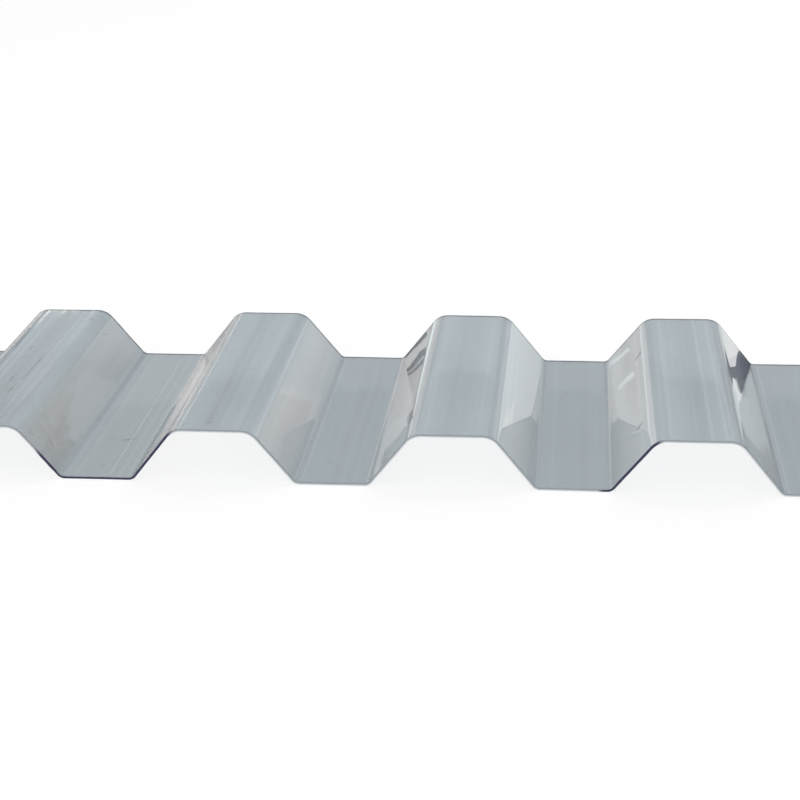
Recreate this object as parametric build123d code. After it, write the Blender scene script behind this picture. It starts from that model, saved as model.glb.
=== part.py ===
"""Ribbed polycarbonate sheet: one thin extruded wall bent into trapezoidal ribs and flat pans.

X runs across the ribs, Y along them and Z up. The origin is on the floor under the middle of
the sheet: z = 0 is the underside of the pans, x = 0 the middle rib and y = 0 half way between
the two sawn ends.
"""

from build123d import *
from math import atan2, tan
import os

# Driving dimensions, in millimetres
RIB_PITCH = 76.0  # centre of one rib to the centre of the next
RIB_COUNT = 11  # ribs across the sheet
PROFILE_DEPTH = 18.0  # underside of the pans to the top of the ribs
WALL = 0.8  # thickness of the sheet
RIB_TOP_WIDTH = 25.0  # flat top of a rib, between the sharp corners of the wall's middle line
PAN_WIDTH = 23.5  # flat pan between two ribs, measured the same way
EDGE_PAN_WIDTH = 23.75  # flat pan left outside the first and the last rib
RIB_BEND_RADIUS = 6.0  # inside radius of the soft bends at a rib's shoulders
PAN_BEND_RADIUS = 2.5  # inside radius of the crisp bends at the foot of a rib
CUT_LENGTH = 115.0  # along the ribs, from one sawn end to the other

# Sizes that follow from them
MID_DEPTH = PROFILE_DEPTH - WALL  # depth of the wall's middle line
FLANK_RUN = (RIB_PITCH - RIB_TOP_WIDTH - PAN_WIDTH) / 2  # width that a sloping flank takes up
FLANK_ANGLE = atan2(MID_DEPTH, FLANK_RUN)  # slope of a flank above the pan, in radians
MITRE = WALL / 2 * tan(FLANK_ANGLE / 2)  # shift of a sharp corner from the middle line to a face
OUTER_RIB_X = (RIB_COUNT - 1) / 2 * RIB_PITCH  # centre of the last rib
EDGE_X = OUTER_RIB_X + RIB_TOP_WIDTH / 2 + FLANK_RUN + EDGE_PAN_WIDTH  # side edge of the sheet

UNDERSIDE, TOPSIDE = -1, 1


def rib_centres():
    """X of the middle of each rib, from left to right."""
    return [index * RIB_PITCH - OUTER_RIB_X for index in range(RIB_COUNT)]


def face_line(side):
    """One face of the wall, edge to edge, with all its bends rounded.

    The bends of the two faces share their centres, so the wall is as thick there as elsewhere.
    """
    top_half = RIB_TOP_WIDTH / 2 + side * MITRE
    foot_half = RIB_TOP_WIDTH / 2 + FLANK_RUN + side * MITRE
    pan_z = WALL if side == TOPSIDE else 0.0
    rib_z = pan_z + MID_DEPTH
    rib_radius = RIB_BEND_RADIUS + (WALL if side == TOPSIDE else 0.0)
    pan_radius = PAN_BEND_RADIUS + (0.0 if side == TOPSIDE else WALL)

    points = [(-EDGE_X, pan_z)]
    radii = []
    for centre in rib_centres():
        points += [
            (centre - foot_half, pan_z),
            (centre - top_half, rib_z),
            (centre + top_half, rib_z),
            (centre + foot_half, pan_z),
        ]
        radii += [pan_radius, rib_radius, rib_radius, pan_radius]
    points.append((EDGE_X, pan_z))
    return points, radii


def ribbed_sheet():
    """The whole sheet as one extrusion of its section along the ribs."""
    under_points, under_radii = face_line(UNDERSIDE)
    top_points, top_radii = face_line(TOPSIDE)
    with BuildPart() as sheet:
        with BuildSketch(Plane.XZ):
            with BuildLine():
                FilletPolyline(*under_points, radius=under_radii)
                FilletPolyline(*top_points, radius=top_radii)
                Line(under_points[0], top_points[0])
                Line(under_points[-1], top_points[-1])
            make_face()
        extrude(amount=CUT_LENGTH / 2, both=True)
    return sheet.part


os.makedirs("parts", exist_ok=True)
export_step(ribbed_sheet(), "parts/ribbed_sheet.step")
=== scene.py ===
"""The looks of the ribbed polycarbonate sheet: its formed wall, its finishes and its studio.

Lengths are in metres where nothing else is said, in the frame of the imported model: X across
the ribs, Y along them and Z up, with the underside of the pans on the floor.
"""

import logging
import math
from dataclasses import dataclass
from enum import Enum
from functools import reduce

import bpy
from mathutils import Matrix, Vector


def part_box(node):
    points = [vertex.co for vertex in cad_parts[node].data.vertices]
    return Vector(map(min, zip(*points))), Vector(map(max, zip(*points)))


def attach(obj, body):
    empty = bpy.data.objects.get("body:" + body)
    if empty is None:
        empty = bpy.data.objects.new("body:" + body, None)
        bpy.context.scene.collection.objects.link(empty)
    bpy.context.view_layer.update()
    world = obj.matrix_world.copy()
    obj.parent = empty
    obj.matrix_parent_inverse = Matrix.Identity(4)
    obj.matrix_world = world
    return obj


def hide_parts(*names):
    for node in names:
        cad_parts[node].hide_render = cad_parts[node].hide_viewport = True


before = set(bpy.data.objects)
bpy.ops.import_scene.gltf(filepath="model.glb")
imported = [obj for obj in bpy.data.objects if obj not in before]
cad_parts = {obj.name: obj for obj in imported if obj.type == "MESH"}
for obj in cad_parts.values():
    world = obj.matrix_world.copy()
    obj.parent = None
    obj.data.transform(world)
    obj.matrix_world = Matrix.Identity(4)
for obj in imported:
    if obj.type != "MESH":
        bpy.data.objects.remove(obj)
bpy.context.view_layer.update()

MM = 0.001
LOG = logging.getLogger("ribbed_sheet")

# Kinds of value: what a node's input takes, a low and a high end, and a place or colour
Socket = bpy.types.NodeSocket
Feed = Socket | bpy.types.Material | tuple[float, ...] | float | bool | str
Span = tuple[float, float]
Triple = tuple[float, float, float]


class NodeWriter:
    """Short calls that add nodes to one tree, geometry or shader, and wire them."""

    # Numbers of the sockets that a Mix node has for vectors
    MIX_SHARE, MIX_START, MIX_END, MIX_RESULT = 0, 4, 5, 1
    # Values of a noise that are spread over 0 to 1
    NOISE_SPREAD = (0.25, 0.75)
    NOISE_MIDDLE = 0.5

    def __init__(self, tree: bpy.types.NodeTree) -> None:
        """Start with the tree empty: what it held is removed."""
        self.tree = tree
        tree.nodes.clear()

    def node(self, kind: str, feeds: dict[str | int, Feed] | None = None,
             **settings: object) -> bpy.types.Node:
        """Add one node.

        Args:
            kind: Blender's name for the type of node.
            feeds: What goes into its inputs, by name or number.
            settings: The node's own options.

        Returns:
            The new node.
        """
        node = self.tree.nodes.new(kind)
        for name, value in settings.items():
            setattr(node, name, value)
        for name, feed in (feeds or {}).items():
            self.feed(node.inputs[name], feed)
        return node

    def feed(self, socket: Socket, feed: Feed) -> None:
        """Link an input to another node's output, or set it to a plain value.

        Args:
            socket: The input.
            feed: An output socket, or a value that suits the input.
        """
        if isinstance(feed, Socket):
            self.tree.links.new(feed, socket)
        else:
            socket.default_value = feed

    def out(self, kind: str, feeds: dict[str | int, Feed] | None = None,
            **settings: object) -> Socket:
        """Add one node and return its first output."""
        return self.node(kind, feeds, **settings).outputs[0]

    def maths(self, operation: str, *values: Feed) -> Socket:
        """Return the result of a Math node."""
        return self.out("ShaderNodeMath", dict(enumerate(values)), operation=operation)

    def total(self, *values: Feed) -> Socket:
        """Return the sum of some numbers."""
        return reduce(lambda whole, value: self.maths("ADD", whole, value), values)

    def product(self, *values: Feed) -> Socket:
        """Return the product of some numbers."""
        return reduce(lambda whole, value: self.maths("MULTIPLY", whole, value), values)

    def minus(self, value: Feed, taken: Feed) -> Socket:
        """Return one number less another."""
        return self.maths("SUBTRACT", value, taken)

    def rest(self, share: Feed) -> Socket:
        """Return what a share leaves of 1."""
        return self.minus(1.0, share)

    def over(self, value: Feed, divisor: Feed) -> Socket:
        """Return one number divided by another."""
        return self.maths("DIVIDE", value, divisor)

    def unsigned(self, value: Feed) -> Socket:
        """Return a number without its sign."""
        return self.maths("ABSOLUTE", value)

    def vector_maths(self, operation: str, *values: Feed) -> Socket:
        """Return the vector that a Vector Math node gives."""
        node = self.node("ShaderNodeVectorMath", dict(enumerate(values)), operation=operation)
        return node.outputs["Vector"]

    def scaled(self, vector: Feed, factor: Feed) -> Socket:
        """Return a vector or colour times a number."""
        node = self.node("ShaderNodeVectorMath", {"Vector": vector, "Scale": factor},
                         operation="SCALE")
        return node.outputs["Vector"]

    def xyz(self, x: Feed = 0.0, y: Feed = 0.0, z: Feed = 0.0) -> Socket:
        """Return a vector made of three numbers."""
        return self.out("ShaderNodeCombineXYZ", {0: x, 1: y, 2: z})

    def parts(self, vector: Feed) -> tuple[Socket, ...]:
        """Return the three numbers of a vector."""
        return tuple(self.node("ShaderNodeSeparateXYZ", {0: vector}).outputs)

    def ramp(self, value: Feed, low: Feed, high: Feed, start: Feed = 0.0,
             end: Feed = 1.0) -> Socket:
        """Return a smooth step: start where the value is up to low, and end from high on."""
        ends = {"Value": value, "From Min": low, "From Max": high, "To Min": start, "To Max": end}
        return self.out("ShaderNodeMapRange", ends, interpolation_type="SMOOTHSTEP")

    def fall(self, value: Feed, low: Feed, high: Feed) -> Socket:
        """Return a smooth step down: 1 where the value is up to low, and 0 from high on."""
        return self.ramp(value, low, high, 1.0, 0.0)

    def mixed(self, share: Feed, start: Feed, end: Feed) -> Socket:
        """Return a colour that goes from start to end as the share goes from 0 to 1."""
        ends = {self.MIX_SHARE: share, self.MIX_START: start, self.MIX_END: end}
        return self.node("ShaderNodeMix", ends, data_type="VECTOR").outputs[self.MIX_RESULT]

    def noise(self, place: Feed, seed: float, detail: float = 0.0) -> Socket:
        """Add a noise with features about one unit across.

        Args:
            place: Where it is read, in units of its features.
            seed: Which of the endless noises it is.
            detail: How many finer octaves it has.

        Returns:
            Its value, spread evenly enough over 0 to 1.
        """
        node = self.node("ShaderNodeTexNoise",
                         {"Vector": place, "W": seed, "Scale": 1.0, "Detail": detail},
                         noise_dimensions="4D")
        return self.ramp(node.outputs["Fac"], *self.NOISE_SPREAD)

    def centred(self, noise: Feed) -> Socket:
        """Return a noise less its middle, so that it goes to both sides of 0."""
        return self.minus(noise, self.NOISE_MIDDLE)

    def drawn(self, across: Feed, along: Feed, extent: Span, seed: float) -> Socket:
        """Return a noise whose features have the given extent across and along the ribs."""
        return self.noise(self.xyz(self.over(across, extent[0]), self.over(along, extent[1])), seed)

    def light(self, colour: Feed) -> Socket:
        """Return an emission that renders as just the colour that it is given."""
        return self.out("ShaderNodeEmission", {"Color": colour, "Strength": 1.0})


def new_finish(name: str) -> tuple[bpy.types.Material, NodeWriter]:
    """Make a node material.

    Args:
        name: Its name.

    Returns:
        The material and the writer of its nodes.
    """
    material = bpy.data.materials.new(name)
    material.use_nodes = True
    return material, NodeWriter(material.node_tree)


def new_mesh(name: str, points: list[Triple], faces: list[tuple[int, ...]]) -> bpy.types.Mesh:
    """Make a mesh.

    Args:
        name: Its name.
        points: Its points.
        faces: The numbers of each face's points.

    Returns:
        The mesh.
    """
    mesh = bpy.data.meshes.new(name)
    mesh.from_pydata(points, [], faces)
    return mesh


def new_object(name: str, data: bpy.types.ID) -> bpy.types.Object:
    """Put an object into the scene.

    Args:
        name: Its name.
        data: The mesh, lamp or camera that it shows.

    Returns:
        The object.
    """
    thing = bpy.data.objects.new(name, data)
    bpy.context.scene.collection.objects.link(thing)
    return thing


@dataclass
class RibbedSheet:
    """The sheet: one thin wall of even thickness, bent into flat-topped ribs and flat pans.

    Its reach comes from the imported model's box, and the other sizes are those of the section.

    Attributes:
        rib_pitch: Centre of one rib to the centre of the next.
        rib_count: Ribs across the sheet.
        rib_top_width: Flat top of a rib between the sharp corners of the wall's middle line.
        pan_width: Flat pan between two ribs, measured the same way.
        wall: Thickness of the sheet.
        rib_bend_radius: Inside radius of the bends at a rib's shoulders.
        pan_bend_radius: Inside radius of the bends at a rib's foot.
        bend_steps: Steps of each bend.
        station_step: Width of a strip of the flat parts, across the ribs.
        rows: Rows of points from one sawn end to the other.
        row_crowding: How much the rows crowd towards the ends. 1 spaces them evenly.
        panel_bow: How far the formed panels bow out of flat.
        bow_size: Size of a bow, across and along the ribs.
        draw_depth: Height of the drawn waves that run along the ribs.
        draw_size: Size of a drawn wave, across and along the ribs.
        saw_wander: How far the saw strayed from a straight cut, inwards.
        wander_size: Width of one such stray.
        saw_tooth: Depth of the nicks that the saw's teeth left.
        tooth_size: Width of one nick.
        torn_least: Share of their depth that the nicks have on a flat.
        torn_steepness: Steepness of the wall from which on they have all of it.
        nick_reach: How far from the cut the wall still leans with it.
        arris: Width of the worn corner between a face and a sawn end.
        torn_margin: Width of the strip beside a cut that has the sawn finish.
    """

    rib_pitch: float = 76.0 * MM
    rib_count: int = 11
    rib_top_width: float = 25.0 * MM
    pan_width: float = 23.5 * MM
    wall: float = 0.8 * MM
    rib_bend_radius: float = 6.0 * MM
    pan_bend_radius: float = 2.5 * MM
    bend_steps: int = 10
    station_step: float = 0.9 * MM
    rows: int = 27
    row_crowding: float = 1.9
    panel_bow: float = 0.045 * MM
    bow_size: Span = (16.0 * MM, 55.0 * MM)
    draw_depth: float = 0.005 * MM
    draw_size: Span = (2.6 * MM, 180.0 * MM)
    saw_wander: float = 0.25 * MM
    wander_size: float = 26.0 * MM
    saw_tooth: float = 0.16 * MM
    tooth_size: float = 1.3 * MM
    torn_least: float = 0.3
    torn_steepness: float = 0.75
    nick_reach: float = 0.8 * MM
    arris: float = 0.07 * MM
    torn_margin: float = 0.35 * MM

    NODE = "ribbed_sheet"
    PIECE = "polycarbonate_sheet"
    SLOT = "polycarbonate"
    BODY = "root"
    CORNERS_PER_RIB = 4.0
    SLAB_HALF = 0.5
    LAYERS = 4
    OUTER_LAYER = 0.9
    SAME_POINT = 0.5
    FACING = 0.5
    BOW_SEED = 3.7
    DRAW_SEED = 8.1
    WANDER_SEED = 5.3
    TOOTH_SEED = 1.9

    def __post_init__(self) -> None:
        """Read the sheet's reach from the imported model."""
        low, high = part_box(self.NODE)
        self.half_width = high.x
        self.half_length = high.y
        self.middle_depth = high.z - low.z - self.wall

    @property
    def flank_run(self) -> float:
        """Width that one sloping flank takes up."""
        return (self.rib_pitch - self.rib_top_width - self.pan_width) / 2

    def sizes(self) -> dict[str, float | int]:
        """Return the tree's named sizes and their values."""
        names = ("rib_pitch", "rib_count", "rib_top_width", "flank_run", "half_width",
                 "half_length", "middle_depth", "wall", "rib_bend_radius", "pan_bend_radius",
                 "bend_steps", "station_step", "rows", "row_crowding", "panel_bow", "draw_depth",
                 "saw_wander", "saw_tooth", "nick_reach", "arris", "torn_margin")
        return {name.replace("_", " ").title(): getattr(self, name) for name in names}

    def build(self, face: bpy.types.Material, sawn: bpy.types.Material) -> bpy.types.Object:
        """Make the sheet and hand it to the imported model's frame.

        Args:
            face: The finish of both faces and the side edges.
            sawn: The finish of the two sawn ends.

        Returns:
            The finished piece.
        """
        piece = new_object(self.PIECE, bpy.data.meshes.new(self.PIECE))
        modifier = piece.modifiers.new("bent_wall", "NODES")
        modifier.node_group = self.tree()
        set_inputs(modifier, self.sizes() | {"Face Finish": face, "Sawn Finish": sawn})
        depsgraph = bpy.context.evaluated_depsgraph_get()
        evaluated = piece.evaluated_get(depsgraph)
        wall = bpy.data.meshes.new_from_object(evaluated, preserve_all_data_layers=True,
                                               depsgraph=depsgraph)
        piece.modifiers.remove(modifier)
        piece.data = wall
        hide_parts(self.NODE)
        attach(piece, self.BODY)
        return piece

    def tree(self) -> bpy.types.NodeTree:
        """Write the tree that bends a flat slab along the sheet's section.

        Returns:
            The Geometry Nodes tree, with the sheet's sizes as its inputs.
        """
        tree = bpy.data.node_groups.new("bent_wall", "GeometryNodeTree")
        for name, value in self.sizes().items():
            kind = "NodeSocketInt" if isinstance(value, int) else "NodeSocketFloat"
            tree.interface.new_socket(name, in_out="INPUT", socket_type=kind)
        for name in ("Face Finish", "Sawn Finish"):
            tree.interface.new_socket(name, in_out="INPUT", socket_type="NodeSocketMaterial")
        tree.interface.new_socket("Sheet", in_out="OUTPUT", socket_type="NodeSocketGeometry")
        w = NodeWriter(tree)
        size = w.node("NodeGroupInput").outputs
        section = self.section(w, size)
        slab = self.slab(w, size, section)
        sawn = w.node("GeometryNodeInputNamedAttribute", {"Name": "sawn"}, data_type="BOOLEAN")
        whole = w.out("GeometryNodeRealizeInstances", {"Geometry": slab})
        faced = w.out("GeometryNodeSetMaterial",
                      {"Geometry": whole, "Material": size["Face Finish"]})
        ended = w.out("GeometryNodeSetMaterial",
                      {"Geometry": faced, "Selection": sawn.outputs["Attribute"],
                       "Material": size["Sawn Finish"]})
        w.node("NodeGroupOutput", {"Sheet": ended})
        return tree

    def section(self, w: NodeWriter, size: bpy.types.NodeOutputs) -> Socket:
        """Write the nodes that draw the middle line of the wall across all the ribs.

        Args:
            w: The writer of the tree.
            size: The tree's inputs.

        Returns:
            The line as a curve, with round bends and evenly divided flats.
        """
        index = w.out("GeometryNodeInputIndex")
        step = w.minus(index, 1.0)
        rib = w.maths("FLOOR", w.over(step, self.CORNERS_PER_RIB))
        corner = w.minus(step, w.product(rib, self.CORNERS_PER_RIB))
        from_middle = w.minus(corner, (self.CORNERS_PER_RIB - 1) / 2)
        raised = w.maths("LESS_THAN", w.unsigned(from_middle), 1.0)
        middle_rib = w.over(w.minus(size["Rib Count"], 1.0), 2.0)
        centre = w.product(w.minus(rib, middle_rib), size["Rib Pitch"])
        top_half = w.over(size["Rib Top Width"], 2.0)
        lowered = w.rest(raised)
        half = w.total(top_half, w.product(lowered, size["Flank Run"]))
        corner_x = w.total(centre, w.product(w.maths("SIGN", from_middle), half))
        last = w.total(w.product(size["Rib Count"], self.CORNERS_PER_RIB), 1.0)
        at_end = w.minus(w.maths("COMPARE", index, last, self.SAME_POINT),
                         w.maths("COMPARE", index, 0.0, self.SAME_POINT))
        inside = w.rest(w.unsigned(at_end))
        x = w.total(w.product(corner_x, inside), w.product(at_end, size["Half Width"]))
        half_wall = w.over(size["Wall"], 2.0)
        z = w.total(half_wall, w.product(raised, size["Middle Depth"]))

        line = w.out("GeometryNodeCurvePrimitiveLine", {"End": (1.0, 0.0, 0.0)})
        points = w.out("GeometryNodeResampleCurve", {"Curve": line, "Count": w.total(last, 1.0)})
        bent = w.out("GeometryNodeSetPosition", {"Geometry": points, "Position": w.xyz(x, 0.0, z)})
        radius_gain = w.minus(size["Rib Bend Radius"], size["Pan Bend Radius"])
        radius = w.total(size["Pan Bend Radius"], half_wall, w.product(raised, radius_gain))
        rounded = w.out("GeometryNodeFilletCurve",
                        {"Curve": bent, "Count": size["Bend Steps"], "Radius": radius},
                        mode="POLY")
        here = w.out("GeometryNodeInputPosition")
        following = w.out("GeometryNodeFieldAtIndex",
                          {"Index": w.total(index, 1.0), "Value": here},
                          data_type="FLOAT_VECTOR")
        gap = w.node("ShaderNodeVectorMath", {0: here, 1: following}, operation="DISTANCE")
        cuts = w.maths("FLOOR", w.over(gap.outputs["Value"], size["Station Step"]))
        return w.out("GeometryNodeSubdivideCurve", {"Curve": rounded, "Cuts": cuts})

    def slab(self, w: NodeWriter, size: bpy.types.NodeOutputs, section: Socket) -> Socket:
        """Write the nodes that make a flat closed slab and lay it along the section.

        Args:
            w: The writer of the tree.
            size: The tree's inputs.
            section: The middle line of the wall.

        Returns:
            The closed wall, with its attributes and smooth faces.
        """
        stations = w.node("GeometryNodeAttributeDomainSize", {"Geometry": section},
                          component="CURVE").outputs["Point Count"]
        flat = w.node("GeometryNodeMeshCube",
                      {"Size": (1.0, 1.0, 1.0), "Vertices X": stations,
                       "Vertices Y": size["Rows"], "Vertices Z": self.LAYERS}).outputs["Mesh"]
        place = w.parts(w.out("GeometryNodeInputPosition"))
        station = w.maths("ROUND", w.product(w.total(place[0], self.SLAB_HALF),
                                             w.minus(stations, 1.0)))
        line_place = w.out("GeometryNodeInputPosition")
        middle = w.parts(self.sampled(w, section, line_place, station))
        tangent = w.parts(self.sampled(w, section, w.out("GeometryNodeInputTangent"), station))
        run = w.node("GeometryNodeSplineParameter").outputs["Length"]
        developed = w.out("GeometryNodeSampleIndex",
                          {"Geometry": section, "Value": run, "Index": station})

        end = w.maths("SIGN", place[1])
        inward = w.rest(w.unsigned(w.over(place[1], self.SLAB_HALF)))
        depth = w.product(w.maths("POWER", inward, size["Row Crowding"]), size["Half Length"])
        layer = w.over(place[2], self.SLAB_HALF)
        outer = w.maths("GREATER_THAN", w.unsigned(layer), self.OUTER_LAYER)
        cut = self.saw_cut(w, size, developed, end, layer, w.unsigned(tangent[2]))
        cut = w.total(cut, w.product(outer, size["Arris"]))
        fade = w.maths("EXPONENT", w.product(w.over(depth, size["Nick Reach"]), -1.0))
        from_end = w.total(depth, w.product(cut, fade))
        y = w.product(end, w.minus(size["Half Length"], from_end))

        half_wall = w.over(size["Wall"], 2.0)
        height = w.over(w.minus(middle[2], half_wall), size["Middle Depth"])
        relief = self.relief(w, size, developed, y, height)
        arris_share = w.over(size["Arris"], half_wall)
        inner_share = w.product(w.rest(outer), arris_share)
        face = w.product(w.maths("SIGN", layer), w.rest(inner_share), half_wall)
        normal = w.xyz(w.product(tangent[2], -1.0), 0.0, tangent[0])
        offset = w.scaled(normal, w.total(face, relief))
        laid = w.vector_maths("ADD", w.xyz(middle[0], y, middle[2]), offset)

        facing = w.parts(w.out("GeometryNodeInputNormal"))
        is_end = w.maths("GREATER_THAN", w.unsigned(facing[1]), self.FACING)
        is_face = w.maths("GREATER_THAN", w.unsigned(facing[2]), self.FACING)
        at_cut = w.maths("LESS_THAN", depth, size["Torn Margin"])
        is_sawn = w.maths("MAXIMUM", is_end, w.product(is_face, at_cut))
        marked = w.out("GeometryNodeStoreNamedAttribute",
                       {"Geometry": flat, "Name": "sawn", "Value": is_sawn},
                       data_type="BOOLEAN", domain="FACE")
        measured = w.out("GeometryNodeStoreNamedAttribute",
                         {"Geometry": marked, "Name": "developed",
                          "Value": w.xyz(developed, y, layer)},
                         data_type="FLOAT_VECTOR", domain="POINT")
        smooth = w.out("GeometryNodeSetShadeSmooth",
                       {"Geometry": measured, "Shade Smooth": is_face})
        return w.out("GeometryNodeSetPosition", {"Geometry": smooth, "Position": laid})

    def sampled(self, w: NodeWriter, section: Socket, value: Socket, station: Socket) -> Socket:
        """Return what one of the section's vectors is at one of its points."""
        return w.out("GeometryNodeSampleIndex",
                     {"Geometry": section, "Value": value, "Index": station},
                     data_type="FLOAT_VECTOR")

    def saw_cut(self, w: NodeWriter, size: bpy.types.NodeOutputs, developed: Feed, end: Feed,
                layer: Feed, steepness: Feed) -> Socket:
        """Write the nodes for the uneven line of a sawn end.

        Args:
            w: The writer of the tree.
            size: The tree's inputs.
            developed: Distance across the flattened sheet.
            end: Which of the two ends, -1 or 1.
            layer: Place in the wall's thickness, from -1 to 1.
            steepness: 0 on a flat, more on a flank, where the teeth tore more.

        Returns:
            How far the cut lies inside the full length.
        """
        wander = w.noise(w.xyz(w.over(developed, self.wander_size), end), self.WANDER_SEED)
        nick = w.noise(w.xyz(w.over(developed, self.tooth_size), end,
                             w.over(layer, 2.0)), self.TOOTH_SEED, detail=1.0)
        torn = w.ramp(steepness, 0.0, self.torn_steepness, self.torn_least)
        return w.total(w.product(wander, size["Saw Wander"]),
                       w.product(nick, torn, size["Saw Tooth"]))

    def relief(self, w: NodeWriter, size: bpy.types.NodeOutputs, developed: Feed, y: Feed,
               height: Feed) -> Socket:
        """Write the nodes for the bows and drawn waves of the formed panels.

        Rib tops only sink and pans only rise, so the sheet keeps its depth.

        Args:
            w: The writer of the tree.
            size: The tree's inputs.
            developed: Distance across the flattened sheet.
            y: Distance along the ribs.
            height: 0 in the pans and 1 on the ribs.

        Returns:
            How far the wall is moved out along its own normal.
        """
        bow = w.drawn(developed, y, self.bow_size, self.BOW_SEED)
        draw = w.drawn(developed, y, self.draw_size, self.DRAW_SEED)
        return w.total(w.product(w.minus(bow, height), size["Panel Bow"]),
                       w.product(w.minus(draw, height), size["Draw Depth"]))


def set_inputs(modifier: bpy.types.NodesModifier, values: dict[str, object]) -> None:
    """Set a Geometry Nodes modifier's inputs.

    Args:
        modifier: The modifier, with its tree in place.
        values: The inputs' values by name.
    """
    identifiers = {
        item.name: item.identifier
        for item in modifier.node_group.interface.items_tree
        if item.item_type == "SOCKET" and item.in_out == "INPUT"
    }
    for name, value in values.items():
        modifier[identifiers[name]] = value


@dataclass(frozen=True)
class Streak:
    """One family of drawn streaks along the ribs.

    Attributes:
        extent: Width of a streak, and the length over which it changes.
        shading: How much it lightens or darkens the look through the wall.
        seed: Which noise it is.
    """

    extent: Span
    shading: float
    seed: float


@dataclass(frozen=True)
class PaintedBendLine:
    """A fine line painted along both sides of each rib beside its bends: a painted highlight where
    it lightens, painted shade where it darkens.

    Attributes:
        reach: Its distance from the middle of the rib.
        width: Its width.
        shading: How much it lightens the look through the wall, or darkens it if under 0.
        seed: Which noise fades it from rib to rib.
    """

    reach: float
    width: float
    shading: float
    seed: float


@dataclass(frozen=True)
class DulledBend:
    """A bend that the forming die left duller than the flats beside it.

    Attributes:
        reach: Its distance from the middle of the rib.
        width: Half the width over which it is dull.
        roughness: Roughness that it adds.
    """

    reach: float
    width: float
    roughness: float


@dataclass(frozen=True)
class Hairlines:
    """Hair-fine pale and dark lines along the ribs, at uneven distances.

    Attributes:
        extent: Usual distance between two lines, and the length over which a line wanders.
        pale: How much a pale line lightens the look through the wall.
        dark: How much a dark one darkens it.
        pale_span: Values of the noise between which a pale line comes in.
        dark_span: Values of it between which a dark line goes out.
        patch: Width of the areas that have more lines or fewer.
        patch_span: Values of the areas' own noise between which the lines come in.
        seed: Which noise it is.
    """

    extent: Span = (1.5 * MM, 2500.0 * MM)
    pale: float = 0.075
    dark: float = 0.05
    pale_span: Span = (0.88, 0.98)
    dark_span: Span = (0.02, 0.12)
    patch: float = 22.0 * MM
    patch_span: Span = (0.35, 0.75)
    seed: float = 20.3


@dataclass(frozen=True)
class Scuffs:
    """Sparse short scratches that all lean one way.

    Attributes:
        lean: Angle from across the ribs, in radians.
        length: Length of a scratch.
        width: Its width.
        spacing: Distance between two places for a scratch, along its lean.
        share: Share of those places that have one.
        shading: How much a scratch darkens the look through the wall.
        seed: Where the pattern of places is read.
    """

    lean: float
    length: float
    width: float
    spacing: float
    share: float
    shading: float
    seed: float


@dataclass(frozen=True)
class Mark:
    """One scratch or smudge where the photograph shows it, with its lengths in millimetres.

    Attributes:
        x: Its middle across the ribs, as seen from above.
        y: Its middle along the ribs.
        length: Its length from above.
        width: Its width from above.
        lean: Turn of its length from across the ribs, in radians.
        depth: How much it darkens the look through the sheet. Below 0 it lightens it.
    """

    x: float
    y: float
    length: float
    width: float
    lean: float
    depth: float


@dataclass(frozen=True)
class ToneStrip:
    """A strip along the ribs whose look through the sheet is darker than the rest, or lighter.

    Attributes:
        low: X of its one side.
        high: X of its other side.
        far: What the strip leaves of the look through the sheet at high Y, for each colour.
        near: What it leaves at low Y.
        mottling: How strong its mottling is at low Y.
        roughness: Roughness that it adds.
        far_y: Y from which on it is as given for high Y.
        near_y: Y up to which it is as given for low Y.
        soft: Width over which its sides fade.
        speck: Size of its mottling.
        seed: Which noise mottles it.
    """

    low: float
    high: float
    far: Triple
    near: Triple
    mottling: float = 0.0
    roughness: float = 0.0
    far_y: float = 45.0 * MM
    near_y: float = -50.0 * MM
    soft: float = 2.0 * MM
    speck: float = 0.8 * MM
    seed: float = 6.6


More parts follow.
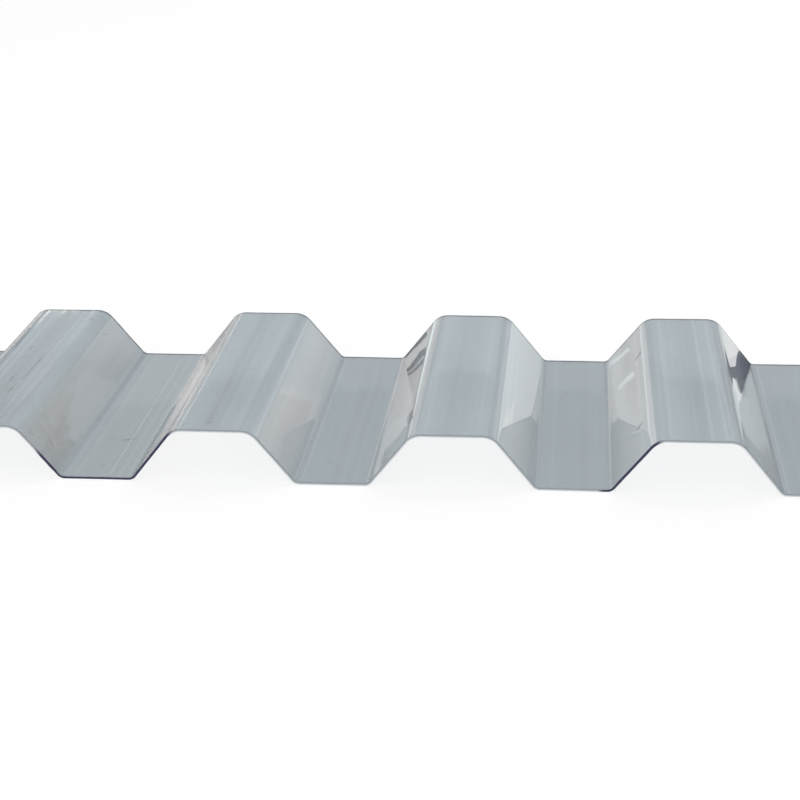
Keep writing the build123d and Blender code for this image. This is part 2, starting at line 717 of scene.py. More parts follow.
@dataclass(frozen=True)
class ClearPolycarbonate:
    """Clear extruded polycarbonate with a faint blue-grey tint, glossy, with drawn streaks.

    Attributes:
        tint: What a look straight through one wall leaves of white.
        shade: What a lamp's light keeps on its way through one wall.
        refraction: Index of refraction.
        clarity: Share of the light that goes on clear, where the rest is scattered.
        gloss: Roughness of the untouched face.
        dulled: Roughness that a fine streak adds.
        scuffed: Roughness that a scratch adds.
        rib_pitch: Centre of one rib to the centre of the next.
        depth: Height of a rib.
        pan_to_rib: Heights, as shares of a rib's, between which a pan's finish turns into
            a rib's.
        flank_foot: Heights, given the same way, between which a flank's own look comes in.
        flank_head: Heights, given the same way, between which that look goes out.
        crown: From the middle of a rib to the start of its bends.
        crown_painted_sheen: How much lighter a rib's top is painted by its bends than in its
            middle, a painted sheen.
        pan_share: Share of the streaks' shading that shows in the pans.
        pan_painted_shade: What the painted shade in a pan leaves of the look through it.
        flank_painted_light: How much lighter the flanks are painted, for each colour, as painted
            light.
        streaks: The streaks, from broad to fine, then the clouds.
        hairlines: The hair-fine lines.
        painted_bend_lines: The painted highlights and painted shade beside the bends.
        bends: The dulled bends, at a rib's shoulder and at its foot.
        scuffs: The scratches laid by rule.
        marks: The scratches and smudges that the photograph shows.
        tone_strips: Strips that look darker or lighter than the rest. Their strengths are fitted to
            the photograph, and the last one is a painted warm reflection, the even warm band on one
            flank.
        ripple: Height of the middle streaks as relief.
        grain: Height of the fine streaks as relief.
    """

    tint: Triple = (0.503, 0.565, 0.596)
    shade: Triple = (0.70, 0.73, 0.75)
    refraction: float = 1.585
    clarity: float = 0.86
    gloss: float = 0.02
    dulled: float = 0.015
    scuffed: float = 0.35
    rib_pitch: float = 76.0 * MM
    depth: float = 18.0 * MM
    pan_to_rib: Span = (0.1, 0.9)
    flank_foot: Span = (0.08, 0.25)
    flank_head: Span = (0.75, 0.93)
    crown: float = 9.4 * MM
    crown_painted_sheen: float = 0.07
    pan_share: float = 0.5
    pan_painted_shade: float = 0.90
    flank_painted_light: Triple = (0.10, 0.05, 0.035)
    streaks: tuple[Streak, ...] = (
        Streak((9.0 * MM, 900.0 * MM), 0.05, 2.3),
        Streak((2.4 * MM, 1200.0 * MM), 0.035, 6.9),
        Streak((0.7 * MM, 300.0 * MM), 0.02, 4.4),
        Streak((18.0 * MM, 34.0 * MM), 0.035, 8.8),
    )
    hairlines: Hairlines = Hairlines()
    # Painted highlights and painted shade beside the bends
    painted_bend_lines: tuple[PaintedBendLine, ...] = (
        PaintedBendLine(8.2 * MM, 0.8 * MM, 0.05, 1.1),
        PaintedBendLine(9.6 * MM, 1.2 * MM, -0.06, 2.2),
        PaintedBendLine(25.6 * MM, 0.5 * MM, -0.10, 3.3),
        PaintedBendLine(28.2 * MM, 0.6 * MM, 0.12, 4.4),
        PaintedBendLine(31.0 * MM, 0.6 * MM, 0.04, 5.5),
    )
    bends: tuple[DulledBend, ...] = (
        DulledBend(12.0 * MM, 3.0 * MM, 0.18),
        DulledBend(26.5 * MM, 2.0 * MM, 0.18),
    )
    scuffs: tuple[Scuffs, ...] = (
        Scuffs(0.95, 4.5 * MM, 0.28 * MM, 40.0 * MM, 0.04, 0.25, 9.1),
        Scuffs(0.10, 1.8 * MM, 0.40 * MM, 22.0 * MM, 0.03, 0.30, 12.7),
    )
    marks: tuple[Mark, ...] = (
        Mark(-86.8, -5.0, 66.0, 0.35, 1.574, 0.45),
        Mark(-14.5, -36.2, 11.5, 1.9, 1.68, 0.55),
        Mark(60.1, 29.0, 3.3, 0.62, 0.91, 0.95),
        Mark(59.0, -32.7, 2.4, 0.62, 0.64, 0.95),
        Mark(57.6, -34.5, 5.6, 0.9, -1.15, -0.35),
        Mark(-150.5, -26.0, 5.1, 0.24, 1.52, 0.62),
        Mark(-153.2, -15.6, 3.8, 0.24, 1.52, 0.62),
        Mark(-155.7, 14.4, 4.3, 0.24, 1.36, 0.62),
        Mark(-149.1, -4.4, 23.7, 0.20, 1.56, 0.56),
        Mark(-77.7, -50.8, 2.5, 0.28, 0.60, 0.68),
        Mark(-78.0, -46.8, 1.9, 0.28, 0.60, 0.68),
        Mark(-76.4, -43.2, 1.0, 0.40, 0.0, 0.7),
        Mark(-77.9, -17.6, 1.0, 0.40, 0.1, 0.7),
        Mark(-82.6, -22.1, 1.6, 0.34, 0.2, 0.7),
        Mark(-79.9, -26.1, 1.2, 0.34, 0.8, 0.7),
        Mark(-73.3, -27.1, 1.2, 0.34, 0.8, 0.7),
        Mark(-112.0, -26.2, 3.1, 0.45, 0.46, 0.56),
        Mark(-109.7, -25.6, 2.3, 0.45, 0.25, 0.56),
        Mark(-110.2, -2.0, 108.0, 0.45, 1.571, -0.25),
        Mark(-114.6, -48.0, 1.0, 0.60, 0.0, 0.5),
        Mark(101.1, 46.5, 0.9, 0.60, 0.0, 0.6),
    )
    tone_strips: tuple[ToneStrip, ...] = (
        # Strips painted darker or lighter than the rest; the first is also mottled
        ToneStrip(-138.5 * MM, -126.0 * MM, (0.765, 0.77, 0.77), (0.79, 0.79, 0.79), 0.14),
        ToneStrip(-163.0 * MM, -141.0 * MM, (1.0, 1.0, 1.0), (0.92, 0.90, 0.90)),
        ToneStrip(-122.5 * MM, -104.0 * MM, (1.08, 1.05, 1.04), (1.05, 1.02, 1.01)),
        # Painted warm reflection: the even warm band on one flank, painted much lighter and duller
        ToneStrip(-101.0 * MM, -88.5 * MM, (1.0, 1.0, 1.0), (1.70, 1.52, 1.46), 0.0, 0.115),
    )
    ripple: float = 0.0025 * MM
    grain: float = 0.0005 * MM

    SCRATCH_CORE = 0.5
    UNCHANGED = (1.0, 1.0, 1.0)

    def material(self) -> bpy.types.Material:
        """Write the finish as a node material.

        Returns:
            The material.
        """
        material, w = new_finish("clear_polycarbonate")
        developed = w.node("ShaderNodeAttribute", attribute_name="developed").outputs["Vector"]
        across, along, _ = w.parts(developed)
        place = w.parts(w.node("ShaderNodeTexCoord").outputs["Object"])
        from_rib = w.maths("PINGPONG", place[0], self.rib_pitch / 2)
        level = w.over(place[2], self.depth)
        height = w.ramp(level, *self.pan_to_rib)
        waves = [w.drawn(across, along, streak.extent, streak.seed) for streak in self.streaks]
        strength = w.ramp(height, 0.0, 1.0, self.pan_share, 1.0)
        shading = w.product(w.total(*(
            w.product(w.centred(wave), streak.shading)
            for wave, streak in zip(waves, self.streaks)
        )), strength)
        # Painted sheen: a rib's top lighter by its bends than in its middle
        crown = w.centred(w.ramp(from_rib, 0.0, self.crown))
        shading = w.total(1.0, shading, w.product(crown, height, self.crown_painted_sheen),
                          w.product(self.hairs(w, across, along), strength))
        # Painted highlights and painted shade beside the bends
        for line in self.painted_bend_lines:
            shading = w.total(shading, self.paint_bend_line(w, from_rib, across, line))
        marks = [self.scratches(w, across, along, scuff) for scuff in self.scuffs]
        for mark, scuff in zip(marks, self.scuffs):
            shading = w.product(shading, w.ramp(mark, 0.0, 1.0, 1.0, 1.0 - scuff.shading))
        worn = 0.0
        for mark in self.marks:
            spot = self.placed(w, place[0], place[1], mark)
            shading = w.product(shading, w.ramp(spot, 0.0, 1.0, 1.0, 1.0 - mark.depth))
            worn = w.total(worn, w.product(spot, abs(mark.depth)))
        # Painted light: the flanks lighter and warmer than the rest
        flank = w.product(w.ramp(level, *self.flank_foot), w.fall(level, *self.flank_head))
        # Painted shade: the pans darker than the rib tops
        shading = w.product(shading, w.ramp(height, 0.0, 1.0, self.pan_painted_shade, 1.0))
        flank_lit = w.vector_maths("ADD", self.UNCHANGED, w.scaled(self.flank_painted_light, flank))
        colour = w.scaled(w.vector_maths("MULTIPLY", self.tint, flank_lit), shading)
        for tone_strip in self.tone_strips:
            colour = w.vector_maths("MULTIPLY", colour, self.strip_colour(w, place, tone_strip))
        roughness = w.total(self.gloss, w.product(waves[2], self.dulled),
                            w.product(w.total(worn, *marks), self.scuffed),
                            *(self.dulling(w, from_rib, bend) for bend in self.bends),
                            *(w.product(self.inside(w, place[0], tone_strip), tone_strip.roughness)
                              for tone_strip in self.tone_strips if tone_strip.roughness))
        clarity = w.product(w.rest(worn), self.clarity)
        relief = w.total(w.product(waves[1], self.ripple), w.product(waves[2], self.grain))
        bump = w.out("ShaderNodeBump", {"Height": relief, "Distance": 1.0})
        plastic = w.out("ShaderNodeBsdfPrincipled",
                        {"Base Color": colour, "Roughness": roughness, "IOR": self.refraction,
                         "Transmission Weight": clarity, "Normal": bump})
        lamp_way = w.out("ShaderNodeBsdfTransparent", {"Color": (*self.shade, 1.0)})
        is_shadow = w.node("ShaderNodeLightPath").outputs["Is Shadow Ray"]
        surface = w.out("ShaderNodeMixShader", {0: is_shadow, 1: plastic, 2: lamp_way})
        w.node("ShaderNodeOutputMaterial", {"Surface": surface})
        return material

    def dulling(self, w: NodeWriter, from_rib: Feed, bend: DulledBend) -> Socket:
        """Return the roughness that one bend adds, most in its middle."""
        off = w.unsigned(w.minus(from_rib, bend.reach))
        return w.ramp(off, 0.0, bend.width, bend.roughness, 0.0)

    def paint_bend_line(self, w: NodeWriter, from_rib: Feed, across: Feed, line: PaintedBendLine) -> Socket:
        """Write the nodes of one painted bend line, a painted highlight or painted shade.

        Args:
            w: The writer of the tree.
            from_rib: Distance from the middle of the nearest rib.
            across: Distance across the flattened sheet.
            line: The line.

        Returns:
            What it adds to the shading.
        """
        off = w.unsigned(w.minus(from_rib, line.reach))
        shape = w.fall(off, 0.0, line.width)
        fade = w.noise(w.xyz(w.over(across, self.rib_pitch / 2)), line.seed)
        return w.product(shape, fade, line.shading)

    def scratches(self, w: NodeWriter, across: Feed, along: Feed, scuff: Scuffs) -> Socket:
        """Write the nodes of one set of scratches.

        Args:
            w: The writer of the tree.
            across: Distance across the flattened sheet.
            along: Distance along the ribs.
            scuff: The scratches.

        Returns:
            1 in a scratch and 0 beside it.
        """
        lean, rise = math.cos(scuff.lean), math.sin(scuff.lean)
        ahead = w.total(w.product(across, lean), w.product(along, rise))
        aside = w.minus(w.product(along, lean), w.product(across, rise))
        slimness = scuff.width / scuff.length
        place = w.xyz(w.total(w.over(ahead, scuff.spacing), scuff.seed),
                      w.over(aside, scuff.spacing * slimness))
        cell = w.node("ShaderNodeTexVoronoi", {"Vector": place, "Scale": 1.0},
                      voronoi_dimensions="2D", feature="F1").outputs
        reach = scuff.length / scuff.spacing / 2
        chosen = w.maths("LESS_THAN", w.parts(cell["Color"])[0], scuff.share)
        return w.product(chosen, w.fall(cell["Distance"], self.SCRATCH_CORE * reach, reach))

    def strip_colour(self, w: NodeWriter, place: tuple[Feed, ...], tone_strip: ToneStrip) -> Socket:
        """Write the nodes of one strip that is darker or lighter.

        Args:
            w: The writer of the tree.
            place: X, Y and Z on the sheet.
            tone_strip: The strip.

        Returns:
            What the strip leaves of the look through the sheet, for each colour.
        """
        x, y, _ = place
        kept = w.mixed(w.ramp(y, tone_strip.near_y, tone_strip.far_y), tone_strip.near, tone_strip.far)
        specks = w.noise(w.scaled(w.xyz(x, y), 1.0 / tone_strip.speck), tone_strip.seed, detail=1.0)
        uneven = w.product(w.centred(specks), tone_strip.mottling, w.fall(y, tone_strip.near_y, 0.0))
        return w.mixed(self.inside(w, x, tone_strip), self.UNCHANGED,
                       w.vector_maths("ADD", kept, w.xyz(uneven, uneven, uneven)))

    def inside(self, w: NodeWriter, x: Feed, tone_strip: ToneStrip) -> Socket:
        """Return 1 inside a strip and 0 beside it."""
        return w.product(w.ramp(x, tone_strip.low - tone_strip.soft, tone_strip.low + tone_strip.soft),
                         w.fall(x, tone_strip.high - tone_strip.soft, tone_strip.high + tone_strip.soft))

    def placed(self, w: NodeWriter, x: Feed, y: Feed, mark: Mark) -> Socket:
        """Write the nodes of one scratch or smudge.

        Args:
            w: The writer of the tree.
            x: Place across the ribs.
            y: Place along them.
            mark: The scratch or smudge.

        Returns:
            1 inside it and 0 beside it.
        """
        lean, rise = math.cos(mark.lean), math.sin(mark.lean)
        half_length, half_width = mark.length * MM / 2, mark.width * MM / 2
        right, forward = w.minus(x, mark.x * MM), w.minus(y, mark.y * MM)
        ahead = w.unsigned(w.total(w.product(right, lean), w.product(forward, rise)))
        aside = w.unsigned(w.minus(w.product(forward, lean), w.product(right, rise)))
        return w.product(w.fall(ahead, half_length - mark.width * MM, half_length),
                         w.fall(aside, self.SCRATCH_CORE * half_width, half_width))

    def hairs(self, w: NodeWriter, across: Feed, along: Feed) -> Socket:
        """Write the nodes of the hair-fine lines.

        Args:
            w: The writer of the tree.
            across: Distance across the flattened sheet.
            along: Distance along the ribs.

        Returns:
            What they add to the shading.
        """
        hair = self.hairlines
        lines = w.drawn(across, along, hair.extent, hair.seed)
        cloud = w.noise(w.xyz(w.over(across, hair.patch)), -hair.seed)
        area = w.ramp(cloud, *hair.patch_span)
        pale = w.product(w.ramp(lines, *hair.pale_span), hair.pale)
        dark = w.product(w.fall(lines, *hair.dark_span), -hair.dark)
        return w.product(w.total(pale, dark), area)


@dataclass(frozen=True)
class DarkStretch:
    """A stretch of a sawn end that looks dark.

    Attributes:
        low: X where it begins.
        high: X where it ends.
        far_end: Whether it is at the end at high Y.
    """

    low: float
    high: float
    far_end: bool = False


@dataclass(frozen=True)
class SawnEdge:
    """A sawn end of the sheet, dull, and dark where it swallows the light.

    Attributes:
        pale: Colour of the upper half of a clean cut.
        lit: Colour of its lower half, which the floor lights.
        line: Colour of the end at high Y.
        dark: Colour where it looks into the wall.
        middle: Places in the thickness, from -1 to 1, between which the one half's colour
            turns into the other's.
        roughness: How dull the saw left it.
        stretches: Where it is dark.
        soft: Length over which a stretch begins.
        known_reach: Distance from the middle rib up to which the stretches are known. Past it
            a noise lays them.
        stretch_size: Length of a stretch laid by noise.
        stretch_span: Values of that noise between which a stretch comes in.
        climb: Heights between which a dark stretch goes from the lower half of the cut to
            the whole of it.
        reach: Place in the thickness up to which it is dark, at each of those heights.
        edge: Thickness over which it ends there, in the same measure.
        fray: How far its edge strays, as a share of half the wall.
        fray_size: Width of one such stray.
        tooth_size: Width of a tooth's mark.
        tooth_relief: Height of the teeth's marks.
    """

    pale: Triple = (0.30, 0.34, 0.37)
    lit: Triple = (0.78, 0.81, 0.83)
    line: Triple = (0.10, 0.13, 0.17)
    dark: Triple = (0.030, 0.028, 0.080)
    middle: Span = (-0.3, 0.3)
    roughness: float = 0.45
    stretches: tuple[DarkStretch, ...] = (
        DarkStretch(-131.5 * MM, -90.0 * MM),
        DarkStretch(47.5 * MM, 63.0 * MM),
        DarkStretch(-25.5 * MM, -13.5 * MM, far_end=True),
    )
    soft: float = 2.5 * MM
    known_reach: float = 160.0 * MM
    stretch_size: float = 34.0 * MM
    stretch_span: Span = (0.45, 0.6)
    climb: Span = (0.8 * MM, 4.0 * MM)
    reach: Span = (0.3, 1.3)
    edge: float = 0.3
    fray: float = 0.3
    fray_size: float = 2.0 * MM
    tooth_size: float = 0.5 * MM
    tooth_relief: float = 0.03 * MM

    FRAY_SEED = 4.9
    TOOTH_SEED = 3.1
    STRETCH_SEED = 7.7

    def material(self) -> bpy.types.Material:
        """Write the finish as a node material.

        Returns:
            The material.
        """
        material, w = new_finish("sawn_polycarbonate")
        developed = w.node("ShaderNodeAttribute", attribute_name="developed").outputs["Vector"]
        across, along, layer = w.parts(developed)
        x, _, z = w.parts(w.node("ShaderNodeTexCoord").outputs["Object"])
        far_end = w.maths("GREATER_THAN", along, 0.0)
        lit = w.mixed(w.fall(layer, *self.middle), self.pale, self.lit)
        lined = w.mixed(far_end, lit, self.line)
        stray = w.noise(w.xyz(w.over(across, self.fray_size)), self.FRAY_SEED)
        limit = w.total(w.ramp(z, *self.climb, *self.reach), w.product(w.centred(stray), self.fray))
        share = w.fall(w.minus(layer, limit), 0.0, self.edge)
        darkness = w.product(self.darkness(w, x, across, far_end), share)
        colour = w.mixed(darkness, lined, self.dark)
        tooth = w.noise(w.xyz(w.over(across, self.tooth_size), layer), self.TOOTH_SEED)
        bump = w.out("ShaderNodeBump", {"Height": w.product(tooth, self.tooth_relief),
                                        "Distance": 1.0})
        cut = w.out("ShaderNodeBsdfPrincipled",
                    {"Base Color": colour, "Roughness": self.roughness,
                     "Normal": bump})
        w.node("ShaderNodeOutputMaterial", {"Surface": cut})
        return material

    def darkness(self, w: NodeWriter, x: Feed, across: Feed, far_end: Feed) -> Socket:
        """Write the nodes for the dark stretches.

        Args:
            w: The writer of the tree.
            x: Place across the ribs.
            across: Distance across the flattened sheet.
            far_end: 1 at the end at high Y, and 0 at the other.

        Returns:
            1 where the cut is dark, and 0 where it is pale.
        """
        near_end = w.rest(far_end)
        known = 0.0
        for stretch in self.stretches:
            begun = w.ramp(x, stretch.low - self.soft, stretch.low)
            over = w.fall(x, stretch.high, stretch.high + self.soft)
            known = w.total(known, w.product(begun, over, far_end if stretch.far_end else near_end))
        swallow = w.noise(w.xyz(w.over(across, self.stretch_size), far_end), self.STRETCH_SEED)
        laid = w.ramp(swallow, *self.stretch_span)
        is_known = w.maths("LESS_THAN", w.unsigned(x), self.known_reach)
        return w.ramp(is_known, 0.0, 1.0, laid, known)


class Tone(Enum):
    """What a reflection card shows, as the colour that it renders."""

    FOOT_GREY = (0.52, 0.55, 0.57)
    SIDE_PALE = (0.80, 0.84, 0.87)
    LOW_GREY = (0.385, 0.405, 0.42)
    HIGH_GREY = (0.235, 0.25, 0.26)
    WARM_LIGHT = (0.92, 0.84, 0.81)
    WARM_GLARE = (2.00, 1.82, 1.73)
    RIGHT_GROUND = (0.79, 0.84, 0.87)
    DUSK = (0.48, 0.44, 0.42)
    DEEP_DUSK = (0.04, 0.03, 0.03)
    LOW_DUSK = (0.68, 0.65, 0.63)
    NEAR_GROUND = (0.41, 0.38, 0.365)
    BETWEEN_GROUND = (0.60, 0.59, 0.58)
    LIT_GROUND = (0.76, 0.765, 0.76)
    FAR_GROUND = (0.55, 0.52, 0.50)
    LEFT_GROUND = (0.57, 0.565, 0.56)
    RIGHT_GLOW = (0.74, 0.78, 0.80)
    LEFT_GLOW = (0.98, 0.96, 0.95)
    WARM_GROUND = (1.28, 1.21, 1.17)
    LINE_GLARE = (1.06, 1.08, 1.09)
    SHOULDER_GLARE = (1.42, 1.56, 1.62)
    SILL_GLARE = (2.50, 2.15, 2.00)
    UNDERLAY = (0.40, 0.40, 0.50)
    MIDDLE_GREY = (0.40, 0.40, 0.45)
    DARK = (0.01, 0.01, 0.015)


class MetBy(Enum):
    """The rays that meet a card, after their last turn at a surface."""

    MIRRORED = (True, False)
    LOOKING_THROUGH = (False, True)
    BOTH = (True, True)


class Axis(Enum):
    """The axis of a place, by its number."""

    X = 0
    Y = 1


@dataclass(frozen=True)
class Card:
    """A flat card that only reflections and looks through the sheet meet.

    Attributes:
        name: Name of its object.
        tone: What it shows.
        corners: Its corners in order, in millimetres.
        met_by: The rays that meet it.
        end_tone: What it shows from the end of its fade on, where it fades.
        fade: The places, in millimetres, between which it fades.
        fade_axis: The axis along which it fades.
    """

    name: str
    tone: Tone
    corners: tuple[Triple, ...]
    met_by: MetBy = MetBy.BOTH
    end_tone: Tone | None = None
    fade: Span = (0.0, 1.0)
    fade_axis: Axis = Axis.X

    def build(self) -> bpy.types.Object:
        """Make the card.

        Returns:
            The card.
        """
        points = [tuple(value * MM for value in corner) for corner in self.corners]
        mesh = new_mesh(self.name, points, [tuple(range(len(points)))])
        card = stage_card(self.name, mesh, self.tone, self.met_by)
        if self.end_tone:
            self.add_fade(mesh.materials[0].node_tree)
        return card

    def add_fade(self, tree: bpy.types.NodeTree) -> None:
        """Make the card's light fade to its end tone.

        Args:
            tree: The nodes of its material.
        """
        w = NodeWriter(tree)
        place = w.parts(w.node("ShaderNodeTexCoord").outputs["Object"])
        share = w.ramp(place[self.fade_axis.value], self.fade[0] * MM, self.fade[1] * MM)
        colour = w.mixed(share, self.tone.value, self.end_tone.value)
        w.node("ShaderNodeOutputMaterial", {"Surface": w.light(colour)})


def standing(start: Span, end: Span, foot: float, top: float) -> tuple[Triple, ...]:
    """Return the corners of a card that stands over the line from start to end."""
    return (*start, foot), (*end, foot), (*end, top), (*start, top)


def lying(height: float, *places: Span) -> tuple[Triple, ...]:
    """Return the corners of a level card over some places on the floor."""
    return tuple((*place, height) for place in places)


@dataclass(frozen=True)
class GreyRing:
    """A grey band all round the sheet, which its flats mirror from any side.

    Attributes:
        name: Name of its object.
        tone: What it shows.
        foot: Height of its lower edge.
        top: Height of its upper edge.
        radius: Distance from the middle of the sheet.
        sides: Flat sides that it has.
    """

    name: str
    tone: Tone
    foot: float
    top: float
    radius: float = 2.6
    sides: int = 96

    def build(self) -> bpy.types.Object:
        """Make the band.

        Returns:
            The band.
        """
        turns = [2 * math.pi * side / self.sides for side in range(self.sides)]
        points = [
            (self.radius * math.cos(turn), self.radius * math.sin(turn), height)
            for height in (self.foot, self.top)
            for turn in turns
        ]
        walls = [
            (side, (side + 1) % self.sides, self.sides + (side + 1) % self.sides,
             self.sides + side)
            for side in range(self.sides)
        ]
        return stage_card(self.name, new_mesh(self.name, points, walls), self.tone, MetBy.BOTH)


def stage_card(name: str, mesh: bpy.types.Mesh, tone: Tone, met_by: MetBy) -> bpy.types.Object:
    """Put a card's mesh on the stage.

    Args:
        name: Name of the object.
        mesh: Its shape.
        tone: What it shows.
        met_by: The rays that meet it.

    Returns:
        The object, which the camera never sees and no lamp's light meets.
    """
    material, w = new_finish(name)
    material.cycles.emission_sampling = "NONE"
    w.node("ShaderNodeOutputMaterial", {"Surface": w.light((*tone.value, 1.0))})
    mesh.materials.append(material)
    card = new_object(name, mesh)
    card.visible_camera = False
    card.visible_diffuse = False
    card.visible_shadow = False
    card.visible_glossy, card.visible_transmission = met_by.value
    return card


@dataclass(frozen=True)
class SoftLamp:
    """A large soft lamp that shines at the sheet.

    Attributes:
        name: Name of its object.
        place: Where it hangs.
        width: Side of its square face.
        power: Its power, in watts.
        aim: The point that it faces.
        colour: Its colour.
    """

    name: str
    place: Triple
    width: float
    power: float
    aim: Triple = (0.0, 0.0, 0.0)
    colour: Triple = (1.0, 1.0, 1.0)

    def build(self) -> bpy.types.Object:
        """Make the lamp.

        Returns:
            The lamp's object.
        """
        light = bpy.data.lights.new(self.name, "AREA")
        light.shape = "SQUARE"
        light.size = self.width
        light.energy = self.power
        light.color = self.colour
        lamp = new_object(self.name, light)
        lamp.location = self.place
        direction = Vector(self.aim) - Vector(self.place)
        lamp.rotation_euler = direction.to_track_quat("-Z", "Y").to_euler()
        lamp.visible_transmission = False
        lamp.visible_glossy = False
        return lamp


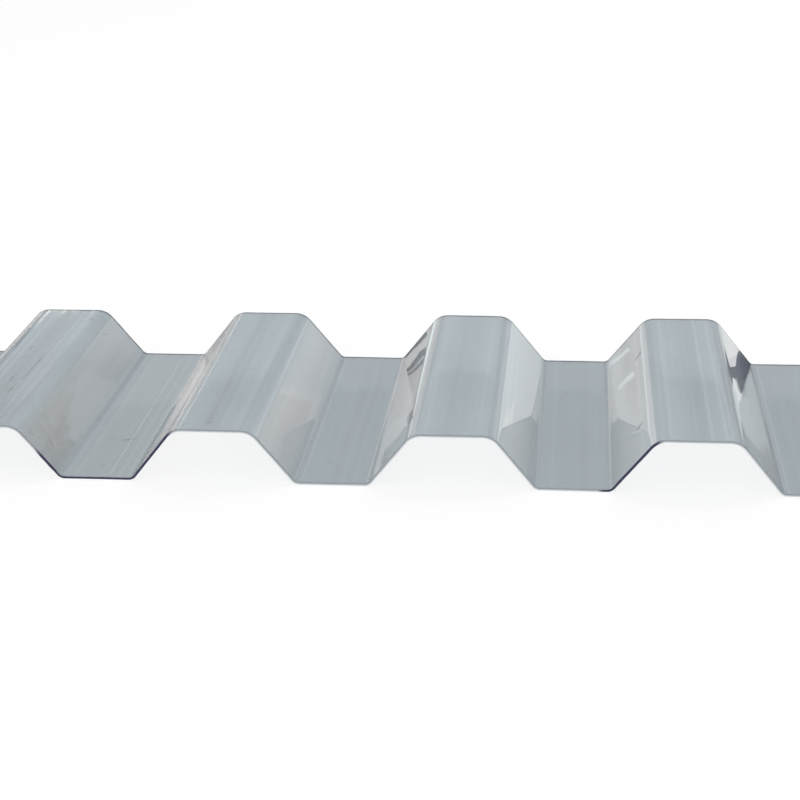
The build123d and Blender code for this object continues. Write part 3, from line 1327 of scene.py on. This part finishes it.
@dataclass(frozen=True)
class Studio:
    """The pale floor, the white surround, the soft lamps and the reflection cards.

    Attributes:
        floor_half: Half the side of the square floor.
        floor_colour: Colour of the floor.
        glow: How far the floor goes towards plain white where the camera looks at it.
        glow_past_plastic: The same for looks by way of a mirroring or a clear face.
        surround: Brightness of the surround as a source of light.
        lamps: The soft lamps.
        cards: The reflection cards, fitted to what the photograph's flanks show.
    """

    floor_half: float = 60.0
    floor_colour: Triple = (0.93, 0.93, 0.93)
    glow: float = 0.80
    glow_past_plastic: float = 0.95
    surround: float = 0.50
    lamps: tuple[SoftLamp, ...] = (
        SoftLamp("key_lamp", (0.9, 1.1, 1.8), 1.2, 25.0),
        SoftLamp("fill_lamp", (-1.3, -0.9, 1.7), 1.4, 17.5),
    )
    cards: tuple[Card | GreyRing, ...] = (
        GreyRing("foot_ring", Tone.FOOT_GREY, 0.10, 0.60),
        GreyRing("low_ring", Tone.LOW_GREY, 0.60, 1.003),
        GreyRing("high_ring", Tone.HIGH_GREY, 1.003, 2.6),
        Card("warm_window", Tone.WARM_LIGHT,
             standing((-641.0, 2313.0), (-918.0, 2217.0), 65.0, 560.0)),
        Card("left_glow", Tone.LEFT_GLOW,
             standing((-875.0, 2230.0), (-965.0, 2190.0), 60.0, 540.0)),
        Card("window_top", Tone.WARM_GLARE,
             standing((-795.0, 2259.6), (-925.0, 2214.6), 560.0, 765.0)),
        Card("window_sill", Tone.SILL_GLARE,
             standing((-990.0, 2186.0), (-1230.0, 2068.0), 20.0, 160.0)),
        Card("right_ground", Tone.RIGHT_GROUND,
             lying(0.25, (41.0, 59.0), (100.0, 59.0), (100.0, 200.0), (180.0, 330.0),
                   (300.0, 700.0), (41.0, 700.0)), MetBy.MIRRORED),
        Card("dusk_card", Tone.DUSK,
             standing((888.0, 2230.0), (1543.0, 1839.0), 160.0, 874.0),
             MetBy.BOTH, Tone.DEEP_DUSK, (895.0, 1090.0)),
        Card("right_glow", Tone.RIGHT_GLOW,
             ((850.0, 2235.0, 505.0), (1100.0, 2124.0, 505.0), (1100.0, 2124.0, 60.0),
              (965.0, 2188.0, 60.0), (965.0, 2188.0, 300.0), (925.0, 2204.0, 300.0),
              (925.0, 2204.0, 390.0), (850.0, 2235.0, 390.0))),
        Card("side_pale", Tone.SIDE_PALE,
             standing((702.0, 2295.0), (868.0, 2238.0), 340.0, 560.0),
             MetBy.BOTH, Tone.FOOT_GREY, (770.0, 868.0)),
        Card("warm_ground", Tone.WARM_GROUND,
             lying(0.4, (-600.0, 350.0), (-150.0, 350.0), (-150.0, 700.0), (-600.0, 700.0)),
             MetBy.MIRRORED),
        Card("right_floor", Tone.RIGHT_GROUND,
             lying(0.25, (121.5, 59.0), (260.0, 59.0), (260.0, 100.0), (131.0, 97.0),
                   (121.5, 80.0)), MetBy.MIRRORED),
        Card("low_dusk", Tone.LOW_DUSK, standing((888.0, 2228.0), (988.0, 2185.0), 90.0, 250.0)),
        Card("near_ground", Tone.NEAR_GROUND,
             lying(0.3, (-85.0, 59.0), (-20.0, 59.0), (-30.0, 170.0), (-85.0, 170.0)),
             MetBy.MIRRORED),
        Card("left_ground", Tone.LEFT_GROUND,
             lying(0.3, (-600.0, 59.0), (-85.0, 59.0), (-85.0, 170.0), (-600.0, 170.0)),
             MetBy.MIRRORED),
        Card("lit_ground", Tone.LIT_GROUND,
             lying(0.32, (-20.0, 59.0), (41.0, 59.0), (41.0, 250.0), (-37.0, 250.0)),
             MetBy.MIRRORED, Tone.FAR_GROUND, (100.0, 250.0), Axis.Y),
        Card("between_ground", Tone.BETWEEN_GROUND,
             lying(0.35, (-32.0, 59.0), (-24.0, 59.0), (-24.0, 135.0), (-46.0, 135.0),
                   (-43.3, 114.6), (-37.2, 87.0)), MetBy.MIRRORED),
        Card("far_ground", Tone.FAR_GROUND,
             lying(0.3, (-600.0, 170.0), (41.0, 170.0), (41.0, 700.0), (-600.0, 700.0)),
             MetBy.MIRRORED),
        Card("pale_shoulder", Tone.SHOULDER_GLARE,
             lying(0.35, (-50.0, 138.0), (-76.0, 138.0), (-150.0, 309.0), (-262.0, 588.0),
                   (-205.0, 600.0), (-105.0, 315.0), (-62.0, 240.0)), MetBy.MIRRORED),
        Card("pale_line_1", Tone.LINE_GLARE,
             lying(0.5, (46.2, 60.0), (47.6, 60.0), (-30.6, 290.0), (-32.8, 290.0))),
        Card("pale_line_2", Tone.LINE_GLARE,
             lying(0.5, (17.4, 108.0), (19.2, 108.0), (-29.8, 253.0), (-32.2, 253.0))),
        Card("dark_underlay_right", Tone.UNDERLAY,
             lying(0.15, (92.8, 44.0), (95.6, 42.0), (96.0, 31.0), (96.6, 24.0), (97.4, 25.0),
                   (98.9, 41.0), (101.6, 52.0), (101.6, 58.4), (111.0, 58.4), (112.0, 70.0),
                   (110.0, 84.0), (104.0, 76.0), (98.5, 69.0), (93.0, 62.0)),
             MetBy.LOOKING_THROUGH),
        Card("dark_slip_right", Tone.DARK,
             lying(0.4, (97.5, 58.6), (112.0, 58.6), (116.5, 61.0), (118.0, 68.8), (118.6, 80.0),
                   (119.0, 84.0), (121.8, 92.5), (127.5, 100.5), (238.0, 358.0), (216.0, 363.0),
                   (143.0, 179.0), (121.5, 103.0), (115.2, 88.5), (110.2, 92.9), (103.5, 75.0)),
             MetBy.MIRRORED),
        Card("dark_post_right", Tone.DARK,
             ((220.0, 361.0, 0.4), (230.0, 358.0, 0.4), (233.0, 358.0, 38.0),
              (226.0, 361.0, 38.0))),
        Card("dark_slip_left", Tone.DARK,
             lying(0.4, (-31.8, 58.3), (-32.9, 63.8), (-34.7, 74.0), (-37.2, 87.0), (-39.5, 100.1),
                   (-43.3, 114.6), (-44.7, 113.8), (-45.4, 105.0), (-44.1, 96.4), (-40.2, 79.8),
                   (-36.0, 64.4), (-34.2, 58.3))),
        Card("dark_edge_left", Tone.DARK,
             lying(0.45, (-26.0, 58.6), (-27.7, 58.6), (-29.2, 65.0), (-32.2, 79.7), (-35.1, 93.3),
                   (-38.3, 107.8), (-42.3, 127.0), (-40.5, 127.0), (-33.5, 94.0))),
        Card("dark_edge_far_left", Tone.MIDDLE_GREY,
             lying(0.45, (-104.9, 72.0), (-108.0, 72.0), (-108.0, 102.0), (-104.9, 102.0))),
        Card("grey_slip_left", Tone.MIDDLE_GREY,
             lying(0.5, (-32.9, 59.5), (-34.8, 65.9), (-38.4, 82.2), (-41.5, 97.0), (-43.6, 106.0),
                   (-44.2, 104.5), (-42.6, 96.4), (-38.9, 79.8), (-35.1, 64.4), (-33.4, 59.5))),
    )

    WHITE = (1.0, 1.0, 1.0, 1.0)

    def build(self) -> None:
        """Make everything on the stage."""
        self.floor()
        self.world()
        for lamp in self.lamps:
            lamp.build()
        for card in self.cards:
            card.build()

    def share_seen(self, w: NodeWriter, by_camera: float, past_plastic: float) -> Socket:
        """Write the nodes that tell a ray that looks from one that lights.

        Args:
            w: The writer of the tree.
            by_camera: The result for a ray that comes straight from the camera.
            past_plastic: The result for one that a face has mirrored or bent.

        Returns:
            One of the two, or 0 for a ray that lights.
        """
        path = w.node("ShaderNodeLightPath").outputs
        turned = w.maths("MAXIMUM", path["Is Glossy Ray"], path["Is Transmission Ray"])
        return w.maths("MAXIMUM", w.product(path["Is Camera Ray"], by_camera),
                       w.product(turned, past_plastic))

    def floor(self) -> bpy.types.Object:
        """Make the floor.

        Returns:
            The floor.
        """
        material, w = new_finish("pale_floor")
        material.cycles.emission_sampling = "NONE"
        paint = w.out("ShaderNodeBsdfDiffuse", {"Color": (*self.floor_colour, 1.0)})
        share = self.share_seen(w, self.glow, self.glow_past_plastic)
        surface = w.out("ShaderNodeMixShader", {0: share, 1: paint, 2: w.light(self.WHITE)})
        w.node("ShaderNodeOutputMaterial", {"Surface": surface})
        half = self.floor_half
        corners = [(-half, -half, 0), (half, -half, 0), (half, half, 0), (-half, half, 0)]
        mesh = new_mesh("floor", corners, [(0, 1, 2, 3)])
        mesh.materials.append(material)
        floor = new_object("floor", mesh)
        return floor

    def world(self) -> None:
        """Make the surround: white where it is looked at, and a plain soft light elsewhere."""
        world = bpy.data.worlds.new("white_surround")
        world.use_nodes = True
        w = NodeWriter(world.node_tree)
        strength = w.ramp(self.share_seen(w, 1.0, 1.0), 0.0, 1.0, self.surround, 1.0)
        light = w.out("ShaderNodeBackground", {"Color": self.WHITE, "Strength": strength})
        w.node("ShaderNodeOutputWorld", {"Surface": light})
        bpy.context.scene.world = world


@dataclass(frozen=True)
class PhotoCamera:
    """The camera, fitted to the sheet's outline in the photograph.

    Attributes:
        place: Where it stands, in millimetres.
        turn: Its turn to the right of straight along the ribs, in radians.
        dip: How far it looks down, in radians.
        lean: Its roll, in radians.
        focal_pixels: Its focal length in the photograph's pixels.
        frame_pixels: Side of the photograph.
        sensor: Side of the sensor, in millimetres.
        clip: Distances between which it sees.
    """

    place: Triple = (36.902, -547.774, 225.229)
    turn: float = -0.106972
    dip: float = 0.377811
    lean: float = -0.019422
    focal_pixels: float = 1721.5
    frame_pixels: float = 800.0
    sensor: float = 36.0
    clip: Span = (10.0 * MM, 100.0)

    def build(self) -> bpy.types.Object:
        """Make the camera and look through it.

        Returns:
            The camera's object.
        """
        ahead = Vector((math.sin(self.turn) * math.cos(self.dip),
                        math.cos(self.turn) * math.cos(self.dip), -math.sin(self.dip)))
        level = Vector((math.cos(self.turn), -math.sin(self.turn), 0.0))
        upright = level.cross(ahead)
        right = math.cos(self.lean) * level + math.sin(self.lean) * upright
        up = math.cos(self.lean) * upright - math.sin(self.lean) * level
        lens = bpy.data.cameras.new("photo_camera")
        lens.sensor_width = self.sensor
        lens.lens = self.focal_pixels / self.frame_pixels * self.sensor
        lens.clip_start, lens.clip_end = self.clip
        camera = new_object("photo_camera", lens)
        turned = Matrix((right, up, -ahead)).transposed().to_4x4()
        camera.matrix_world = Matrix.Translation(Vector(self.place) * MM) @ turned
        bpy.context.scene.camera = camera
        return camera


def main() -> None:
    """Build the camera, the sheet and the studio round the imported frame."""
    logging.basicConfig(level=logging.INFO, format="%(message)s")
    bpy.context.scene.view_settings.view_transform = "Standard"
    camera = PhotoCamera().build()
    LOG.info("camera with a %.1f mm lens", camera.data.lens)
    sheet = RibbedSheet()
    piece = sheet.build(ClearPolycarbonate(rib_pitch=sheet.rib_pitch).material(),
                        SawnEdge().material())
    LOG.info("%s: %d faces", piece.name, len(piece.data.polygons))
    Studio().build()
    LOG.info("studio: floor, surround, lamps and cards")


if __name__ == "__main__":
    main()
